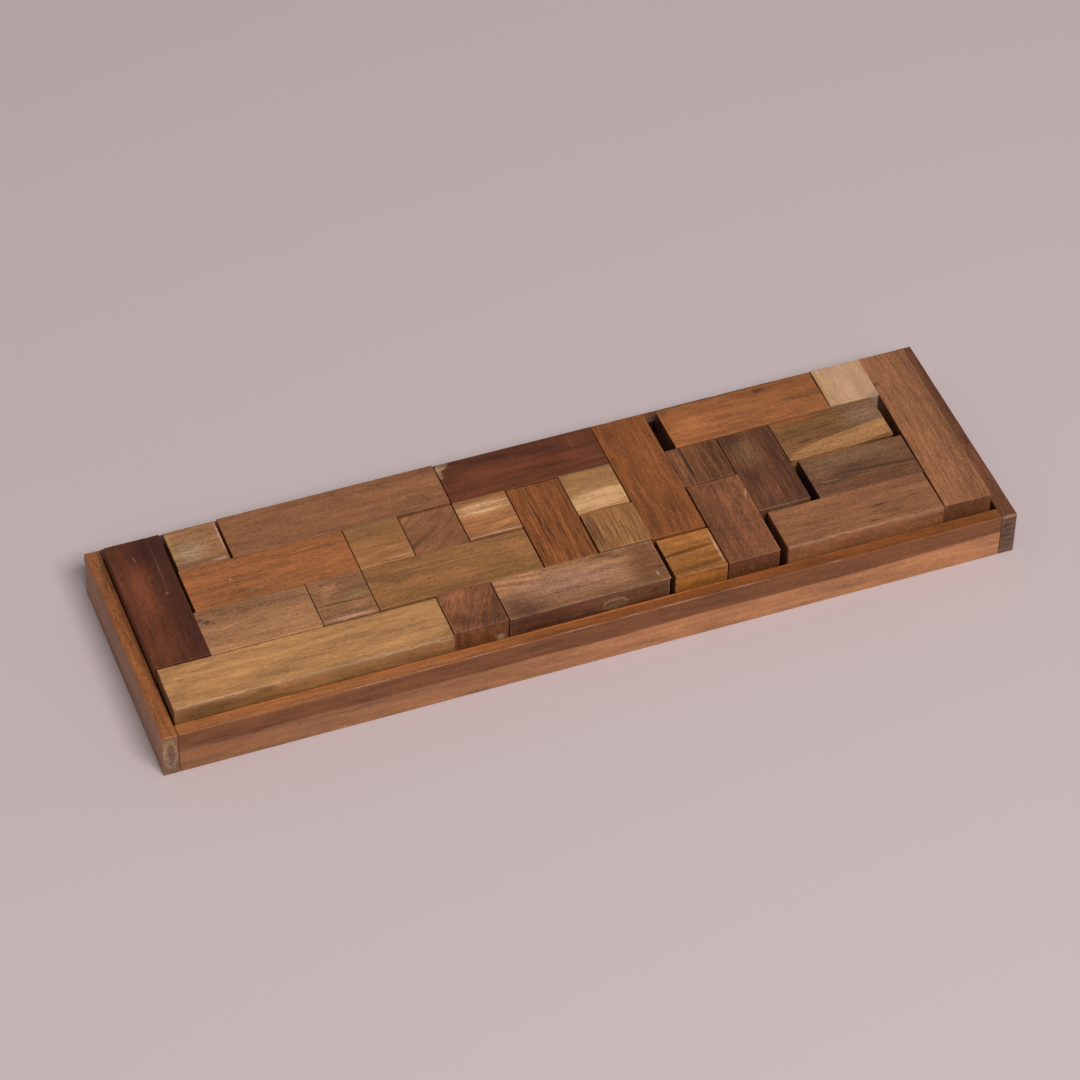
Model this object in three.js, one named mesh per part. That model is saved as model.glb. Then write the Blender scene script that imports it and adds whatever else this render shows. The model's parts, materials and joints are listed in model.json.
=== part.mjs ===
// A pentomino packing puzzle: the twelve five-square shapes, each glued up from square teak sticks,
// packed four rows by fifteen columns in a shallow open tray.
// Millimetres, +Z up. The origin is under the middle of the tray, on the surface that it stands on.
// X runs along the tray, left to right, and Y runs from its front to its back.

import * as THREE from "three";
import { ConvexGeometry } from "three/addons/geometries/ConvexGeometry.js";

// Driving dimensions.
const UNIT = 20; // side of one square of the packing grid
const COLUMNS = 15;
const ROWS = 4;
const ROOM_X = 4.2; // what the bay is longer than the grid
const ROOM_Y = 3.0; // what the bay is deeper than the grid
const SIDE_RAIL = 5.8; // thickness of the left and right rails
const LONG_RAIL = 4.9; // thickness of the front and back rails
const RAIL_HEIGHT = 18.2;
const BASE_THICKNESS = 4.5;
const STICK_HEIGHT = 19.9;
const GLUE_LINE = 0.1; // room for glue between two joined faces
const RAIL_PROUD = 0.1; // how far the side rails' ends stand past the long rails
const RAIL_EDGE = 0.8; // eased edges of the rails
const STICK_EDGE = 0.4; // eased edges of the sticks

const bayLength = COLUMNS * UNIT + ROOM_X;
const bayDepth = ROWS * UNIT + ROOM_Y;

// The tones of the sawn teak.
const tones = {
  cream: "#b89070",
  golden: "#a87850",
  tan: "#906840",
  orange: "#905838",
  mauve: "#885840",
  striped: "#805030",
  olive: "#886038",
  grey: "#705038",
  dark: "#603828",
};

const trayTones = {
  left_rail: tones.orange,
  right_rail: tones.dark,
  front_rail: tones.golden,
  back_rail: tones.mauve,
  base_panel: tones.tan,
};

// The puzzle pieces. shift is how far a piece lies from the even grid, in mm, and twist its turn in degrees.
// Each stick gives its name, its tone, its first column and row, how many columns and rows it covers, and how
// far its left, right, front and back faces stop short of those squares, in mm (below zero: stands past them).
const pieces = [
  {
    name: "v",
    shift: [-1.8, 0],
    twist: 0,
    sticks: [
      ["upright", "dark", 0, 0, 1, 3, [0, 0.1, -0.3, -0.7]],
      ["foot", "tan", 1, 2, 2, 1, [0, -0.1, -0.5, -0.3]],
    ],
  },
  {
    name: "z",
    shift: [-0.8, 0.7],
    twist: 0,
    sticks: [
      ["head", "tan", 1, 0, 1, 1, [0.4, 0.9, 0.5, 0.1]],
      ["middle", "orange", 1, 1, 3, 1, [0, 0.5, 0, -0.4]],
      ["tail", "olive", 3, 2, 1, 1, [-0.6, 0.6, -0.9, 0.1]],
    ],
  },
  {
    name: "y",
    shift: [-0.7, 1.0],
    twist: 0,
    sticks: [
      ["bar", "mauve", 2, 0, 4, 1, [0, 0, 0.3, -0.1]],
      ["stub", "golden", 4, 1, 1, 1, [-0.3, 0.3, -0.3, -0.2]],
    ],
  },
  {
    name: "u",
    shift: [-0.6, 0.4],
    twist: 0,
    sticks: [
      ["bar", "dark", 6, 0, 3, 1, [0.2, 0.3, 0, 0]],
      ["left_leg", "cream", 6, 1, 1, 1, [0, 0.4, 0.9, 0.1]],
      ["right_leg", "cream", 8, 1, 1, 1, [0, 0.5, 0.1, 0.1]],
    ],
  },
  {
    name: "x",
    shift: [-1.0, 0.2],
    twist: 0,
    sticks: [
      ["bar", "olive", 4, 2, 3, 1, [-0.1, 0.1, 0, 0]],
      ["top", "mauve", 5, 1, 1, 1, [0.3, 0, 0.1, 0.3]],
      ["bottom", "grey", 5, 3, 1, 1, [0, 0.2, 0.5, 0.1]],
    ],
  },
  {
    name: "t",
    shift: [-0.8, 0],
    twist: 0,
    sticks: [
      ["stem", "striped", 7, 1, 1, 2, [0.2, 0.1, 0, 0]],
      ["bar", "mauve", 6, 3, 3, 1, [0, 0.3, 0.3, 0.1]],
    ],
  },
  {
    name: "f",
    shift: [-0.6, 0],
    twist: 0,
    sticks: [
      ["bar", "orange", 9, 0, 1, 3, [0, 0, 0, -0.3]],
      ["left_arm", "striped", 8, 2, 1, 1, [0.4, 0.1, 0.6, 0.3]],
      ["right_arm", "striped", 10, 1, 1, 1, [0.1, 0.2, 0.4, 0.5]],
    ],
  },
  {
    name: "n",
    shift: [0.2, 0],
    twist: 0.5,
    sticks: [
      ["back", "orange", 10, 0, 3, 1, [4.1, -4.2, 0.3, 0]],
      ["front", "olive", 12, 1, 2, 1, [-0.4, -0.2, -0.1, -0.2]],
    ],
  },
  {
    name: "w",
    shift: [-0.4, 0],
    twist: 0,
    sticks: [
      ["low", "striped", 10, 2, 1, 2, [0.5, 0.1, -0.1, 0]],
      ["foot", "golden", 9, 3, 1, 1, [0.5, 0, -0.2, 1.2]],
      ["high", "dark", 11, 1, 1, 2, [0, 0, 0.3, 0.4]],
    ],
  },
  {
    name: "l",
    shift: [2.2, 0.4],
    twist: -1.2,
    sticks: [
      ["bar", "orange", 14, 0, 1, 4, [1.0, 1.2, -0.1, -0.1]],
      ["foot", "cream", 13, 0, 1, 1, [2.0, -0.9, 0.4, 0.1]],
    ],
  },
  {
    name: "p",
    shift: [2.3, -1.1],
    twist: 0,
    sticks: [
      ["short", "grey", 12, 2, 2, 1, [0.3, -0.1, 0, 0]],
      ["long", "mauve", 11, 3, 3, 1, [-0.1, 0.3, 0.8, 0.1]],
    ],
  },
  {
    name: "i",
    shift: [-1.4, -0.8],
    twist: -0.15,
    sticks: [["stick", "golden", 0, 3, 5, 1, [0, 0, 0.2, 0.2]]],
  },
];

const group = new THREE.Group();
group.name = "pentomino_puzzle";

function wood(colour) {
  return new THREE.MeshStandardMaterial({ color: colour, roughness: 0.55, metalness: 0 });
}

// A box standing on Z = 0, its middle on the Z axis, with every edge cut off at 45 degrees.
function easedBox(length, depth, height, edge) {
  const corners = [];
  for (const sx of [-1, 1]) {
    for (const sy of [-1, 1]) {
      for (const sz of [-1, 1]) {
        const x = length / 2;
        const y = depth / 2;
        const z = height / 2;
        const at = (dx, dy, dz) => new THREE.Vector3(sx * (x - dx), sy * (y - dy), z + sz * (z - dz));
        corners.push(at(0, edge, edge), at(edge, 0, edge), at(edge, edge, 0));
      }
    }
  }
  return new ConvexGeometry(corners);
}

function addBlock(parent, name, colour, size, edge, place) {
  const block = new THREE.Mesh(easedBox(...size, edge), wood(colour));
  block.name = name;
  block.position.set(...place);
  parent.add(block);
}

// The tray: side rails the full depth of it, long rails between them, and a base panel between all four.
function addTray() {
  const sideX = (bayLength + SIDE_RAIL) / 2;
  const longY = (bayDepth + LONG_RAIL) / 2;
  const sideSize = [SIDE_RAIL, bayDepth + 2 * (LONG_RAIL + RAIL_PROUD), RAIL_HEIGHT];
  const longSize = [bayLength - 2 * GLUE_LINE, LONG_RAIL, RAIL_HEIGHT];
  const baseSize = [bayLength - 2 * GLUE_LINE, bayDepth - 2 * GLUE_LINE, BASE_THICKNESS];
  addBlock(group, "left_rail", trayTones.left_rail, sideSize, RAIL_EDGE, [-sideX, 0, 0]);
  addBlock(group, "right_rail", trayTones.right_rail, sideSize, RAIL_EDGE, [sideX, 0, 0]);
  addBlock(group, "front_rail", trayTones.front_rail, longSize, RAIL_EDGE, [0, -longY, 0]);
  addBlock(group, "back_rail", trayTones.back_rail, longSize, RAIL_EDGE, [0, longY, 0]);
  addBlock(group, "base_panel", trayTones.base_panel, baseSize, STICK_EDGE, [0, 0, 0]);
}

// The middle of the squares that all of a piece's sticks cover, which is the point that the piece turns about.
function middleOf(sticks) {
  const left = Math.min(...sticks.map((s) => s[2]));
  const right = Math.max(...sticks.map((s) => s[2] + s[4]));
  const back = Math.min(...sticks.map((s) => s[3]));
  const front = Math.max(...sticks.map((s) => s[3] + s[5]));
  return [((left + right - COLUMNS) / 2) * UNIT, ((ROWS - back - front) / 2) * UNIT];
}

function addPiece({ name, shift, twist, sticks }) {
  const [middleX, middleY] = middleOf(sticks);
  const piece = new THREE.Group();
  piece.position.set(middleX + shift[0], middleY + shift[1], BASE_THICKNESS);
  piece.rotation.z = THREE.MathUtils.degToRad(twist);
  for (const [part, tone, column, row, across, deep, short] of sticks) {
    const [shortLeft, shortRight, shortFront, shortBack] = short;
    const left = (column - COLUMNS / 2) * UNIT - middleX + shortLeft;
    const right = (column + across - COLUMNS / 2) * UNIT - middleX - shortRight;
    const back = (ROWS / 2 - row) * UNIT - middleY - shortBack;
    const front = (ROWS / 2 - row - deep) * UNIT - middleY + shortFront;
    const size = [right - left, back - front, STICK_HEIGHT];
    const place = [(left + right) / 2, (front + back) / 2, 0];
    addBlock(piece, `${name}_${part}`, tones[tone], size, STICK_EDGE, place);
  }
  group.add(piece);
}

addTray();
pieces.forEach(addPiece);

export default group;
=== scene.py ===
"""The looks of the pentomino packing puzzle: twelve pieces glued up from teak sticks, in an open teak tray.

Every CAD node is replaced by a worn block in the same place, with its own procedural wood.
Blocks and their wood are in millimetres, measured from the middle of each block. The camera, the floor and
the light are in metres.
"""

import json
import math

import bpy
import numpy as np
from mathutils import Matrix, Quaternion, Vector


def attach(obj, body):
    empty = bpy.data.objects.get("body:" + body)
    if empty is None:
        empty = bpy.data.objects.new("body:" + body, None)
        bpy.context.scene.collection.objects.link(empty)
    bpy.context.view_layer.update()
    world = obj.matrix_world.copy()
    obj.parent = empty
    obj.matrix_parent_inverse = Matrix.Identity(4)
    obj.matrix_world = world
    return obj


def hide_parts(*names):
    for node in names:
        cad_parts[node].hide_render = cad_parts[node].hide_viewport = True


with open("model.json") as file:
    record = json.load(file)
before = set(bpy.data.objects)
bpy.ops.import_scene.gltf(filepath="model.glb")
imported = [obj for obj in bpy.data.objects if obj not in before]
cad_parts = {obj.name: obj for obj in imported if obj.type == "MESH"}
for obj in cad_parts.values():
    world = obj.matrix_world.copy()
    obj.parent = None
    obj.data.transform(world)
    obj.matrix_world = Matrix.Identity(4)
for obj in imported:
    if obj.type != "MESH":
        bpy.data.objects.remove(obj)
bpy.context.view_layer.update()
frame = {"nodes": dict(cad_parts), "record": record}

MM = 0.001

# Camera, in metres and degrees.
CAMERA_PLACE = Vector((-0.3903, -0.983, 1.0801))
CAMERA_AZIMUTH = -21.405
CAMERA_ELEVATION = 45.203
CAMERA_ROLL = 1.1
CAMERA_LENS = 142.27
CAMERA_SENSOR = 36.0
CAMERA_CLIP = (0.05, 20)

# Light. EXPOSURE is how bright a white level surface comes out, and SHEEN is what the sky adds to it by
# reflection, so a tone less SHEEN and divided by EXPOSURE is the wood's own colour.
SKY_STRENGTH = 0.3
KEY_PLACE = Vector((0.25, -1.6, 2.0))
KEY_SIZE = (1.3, 0.8)
KEY_POWER = 52
EXPOSURE = 0.855
SHEEN = 0.014
DARKEST = 0.002  # what a tone less SHEEN is at least
FLOOR_TONE = "#c0b0b0"
FLOOR_ROUGHNESS = 0.85
FLOOR_REACH = 3.0
FLOOR_DROP = 0.0001  # keeps the floor out of the plane of the tray's underside

# The tones of the teak, and one of painted shade for faces deep in the gaps. Each stick has one of the teak
# tones as its main tone, times a shade, and the others turn up in its marks. A number in place of a name is
# a shade of the stick's own tone.
TONES = {
    # painted shade, not a tone of the teak: faces deep in the gaps and the back rail's inner face
    "gap_shade": "#282018",
    "umber": "#583828",
    "plum": "#583830",
    "mahogany": "#5c3424",
    "dusk": "#685040",
    "grey": "#705848",
    "walnut": "#704c38",
    "sienna": "#704830",
    "bark": "#784c34",
    "russet": "#804c2c",
    "olive": "#806848",
    "moss": "#8c603c",
    "mauve": "#885a3e",
    "rust": "#905030",
    "ginger": "#905c30",
    "amber": "#945c38",
    "drab": "#906850",
    "tan": "#946848",
    "ash": "#907868",
    "copper": "#a87048",
    "honey": "#ac7c50",
    "straw": "#a88048",
    "fawn": "#a88868",
    "oat": "#b89070",
    "pink": "#c09080",
    "bone": "#c8a088",
    "cream": "#c89c70",
    "sun": "#d8a878",
}

# The figure of the wood. Each kind of noise has the size of its features along the grain, across it and
# down into it, then its detail and its roughness. Saw marks lie along X, Y and Z instead, and sanding
# scratches at an angle of their own.
FIGURES = {
    "wander": ((45, 9, 9), 3.0, 0.5),
    "outline": ((4, 1.2, 1.2), 5.0, 0.75),
    "fibre": ((9, 0.5, 0.5), 3.0, 0.6),
    "grit": ((1.3, 0.6, 0.6), 4.0, 0.8),
    "cloud": ((18, 2.4, 2.4), 4.0, 0.6),
    "broad": ((34, 8, 8), 2.0, 0.5),
    "pore": ((3.4, 0.4, 0.4), 1.0, 0.5),
    "fleck": ((3.2, 0.35, 0.35), 2.0, 0.5),
    "saw": ((0.7, 6, 9), 3.0, 0.5),
    "sanding": ((7, 0.36, 3), 2.0, 0.5),
    "haze": ((7, 5, 5), 3.0, 0.5),
    "chafe": ((5, 2, 2), 3.0, 0.5),
}
STREAK_LENGTH = 60
BROAD = 0.15  # how far the tone of a stick wanders from place to place
FIGURE = 1.2  # how strongly the fibres, grit and clouds show
PORE_DARKENS = 0.22
FLECK_LIGHTENS = 0.14
SANDED = (1.6, 1.6, 1.65, 1.0)  # what a sanding scratch does to the colour
SANDING_OFF_GRAIN = 8  # how far the sanding is turned from the grain, in degrees
SANDING_DEPTH = 0.25
FACE_TINT = 0.8  # how much of its own tone a front face or a left end takes, which on faces in the gaps is painted shade
SEED_STEPS = (37.0, 11.0, 5.0)  # keeps the noise of one stick away from the next one's
GLOSS = (0.44, 0.6)  # roughness of the hard and of the soft fibres
BUMP_DEPTH = 0.09  # in millimetres
BUMP_STRENGTH = 0.35
WOOD_IOR = 1.46

# What a stick has when its own look says nothing else.
USUAL = {
    "pith": (70, -35),  # the middle of the growth rings, across the grain and up from that of the stick
    "wander": 0.14,  # how far the rings stray from circles
    "streaks": 0.12,  # how strong the streaks are
    "stripe": 1.6,  # how wide each of them is
    "fibre": 0.18,  # how strong the fibres, the grit and the clouds are
    "grit": 0.38,
    "cloud": 0.24,
    "wear": 0.45,  # how much of its arris tone a worn edge takes: pale wear, and painted shade where the arris is darker than the stick
    "edges": {},  # radius of each edge that is worn more or less than the rest, named by its two sides
}

# Places on the blocks, measured from their middles.
STICK_HALF = 10  # top and front faces of a stick
RAIL_TOP = 9
RAIL_FRONT = -46.5  # front ends of the side rails
LONG_RAIL_FRONT = -2.4  # front face of the front rail

# Chips along the outer top edge of the front rail: the middle of each and half its length.
RAIL_CHIPS = ((-84, 9), (-62, 5), (-44, 6), (-30, 3), (-8, 7), (12, 4), (30, 8), (52, 5), (88, 3))

# How deep the marks go into the wood.
PATCH_DEPTH = 7
SCRATCH_DEPTH = 0.8
FRONT_DEPTH = 1.5
MARK_REACH = 1.25  # where the edge of a mark lies, in half sizes, with the noise that breaks it up
MARK_NOISE = 0.5

# The lower part of the long rails, and how its shade goes from their left to their right.
SAPWOOD = "#986848"
SAPWOOD_SHADES = (0.87, 1.02, 1.09)
LONG_RAIL_END = 152.0
LINE_RISES_FROM = 80.0
LINE_HEIGHTS = (0.5, 2.3)  # of the line between the parts, up to where it rises and at the right end
LINE_SWAYS = (9.0, 2.0)  # how wavy the line is, at the left end and from the middle on
LINE_SOFT = 0.35

# Shape of the blocks.
STICK_EDGE = 0.22
RAIL_EDGE = 0.35
GLUED_EDGE = 0.05
GLUE_REACH = 0.16  # two sticks of a piece this close are glued face to face
GLUE_SHARED = 1  # and they have to lie side by side for more than this
GLUE_CLOSES = 0.045  # how far each of them comes out to close the glue line
GLUE_MARGIN = 0.2  # how far past the other stick a glued edge stays sharp
STICK_STEP = 1.4  # longest grid step of the mesh
RAIL_STEP = 2.2
EDGE_LINES = (0.0, 0.07, 0.16, 0.28, 0.43, 0.6, 0.85, 1.2, 1.7)  # grid lines near an edge, from it
FACE_HOLLOW = 0.04  # how far the faces sink in at most

# Wear of the blocks. An edge chips where two ripples, one long and one short, are both high or both low.
WAVES = 6  # sine waves in a ripple
CHIP_LONG, CHIP_SHORT = 9, 4
CHIP_GAIN, CHIP_ABOVE = 2.2, 0.75
CHIP_DEPTH = 1.1
EDGE_RIPPLE, EDGE_SWAY = 14, 0.3
HOLLOW_RIPPLE = 30

# How far each twisted piece is turned in the tray, in degrees.
TWISTS = {"n": 0.5, "l": -1.2, "i": -0.15}

# How far the tops of the pieces lie below the highest ones.
LOWER = {"z": 0.1, "y": 0.05, "x": 0.1, "t": 0.05, "n": 0.05, "w": 0.05, "p": 0.1, "i": 0.1}


def linear(tone, shade=1.0):
    """A hex tone as seen in even light, made lighter or darker, as the linear colour of the wood itself."""
    parts = [int(tone[i : i + 2], 16) / 255 * shade for i in (1, 3, 5)]
    light = [c / 12.92 if c <= 0.04045 else ((c + 0.055) / 1.055) ** 2.4 for c in parts]
    return [min(max(c - SHEEN, DARKEST) / EXPOSURE, 1.0) for c in light] + [1.0]


# ---------------------------------------------------------------- marks on the wood


def mark(place, half, tone, amount, turn=0, soft=0.5):
    """An ellipsoid of another tone, with its middle at place and its half sizes along X, Y and Z. turn is
    in degrees about Z, and soft is how wide its edge is."""
    return {"place": place, "half": half, "tone": tone, "amount": amount, "turn": turn, "soft": soft}


def patch(x, y, long, wide, tone, amount=0.7, turn=0, soft=0.6):
    """A patch on the top face that goes a few millimetres into the wood."""
    return mark((x, y, STICK_HALF), (long / 2, wide / 2, PATCH_DEPTH), tone, amount, turn, soft)


def scratch(x0, y0, x1, y1, tone, amount=0.5, wide=0.22):
    """A thin straight line on the top face."""
    long = math.hypot(x1 - x0, y1 - y0)
    turn = math.degrees(math.atan2(y1 - y0, x1 - x0))
    place = ((x0 + x1) / 2, (y0 + y1) / 2, STICK_HALF)
    return mark(place, (long / 2, wide / 2, SCRATCH_DEPTH), tone, amount, turn, 0.6)


def on_front(x, z, long, high, tone, amount=0.7, soft=0.5):
    """A patch on the front face."""
    return mark((x, -STICK_HALF, z), (long / 2, FRONT_DEPTH, high / 2), tone, amount, 0, soft)


def end_rings(count, top, apart, sway, half, tone, amount):
    """Growth rings on the front end of a side rail, each below the last one and swayed to its other side."""
    places = [(sway * (-1) ** i, RAIL_FRONT, top - apart * i) for i in range(count)]
    return [mark(place, half, tone, amount, 0, 0.9) for place in places]


def rail_chips(tone, amount):
    """Pale chips along the outer top edge of the front rail."""
    chips = [((x, LONG_RAIL_FRONT, 9.05), (half, 0.5, 0.12)) for x, half in RAIL_CHIPS]
    return [mark(place, half, tone, amount, 0, 0.6) for place, half in chips]


def wood(grain, tone, shade, ends, *marks, **more):
    """How one stick looks. Its grain runs at grain degrees from X. Its main tone is a named tone times a
    shade. ends are shades of the main tone at the back and the front of the top face, or at the left and the
    right where the grain runs front to back. more is anything of USUAL, and these: arris is the tone of its
    worn edges, slot a material slot that is not used, front and left_end the tones of those faces, saw how
    strong its saw marks are, sanding the direction and the strength of its sanding scratches, and two_tone
    is True where its lower part is sapwood."""
    sanding = (grain + SANDING_OFF_GRAIN, SANDING_DEPTH)
    own = {"grain": grain, "tone": tone, "shade": shade, "ends": ends, "marks": marks, "sanding": sanding}
    return {**USUAL, **own, **more}


def paint(look, tone):
    """The linear colour of a named tone, or of a shade of the stick's own tone."""
    if isinstance(tone, str):
        return linear(TONES[tone])
    return linear(TONES[look["tone"]], look["shade"] * tone)


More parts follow.
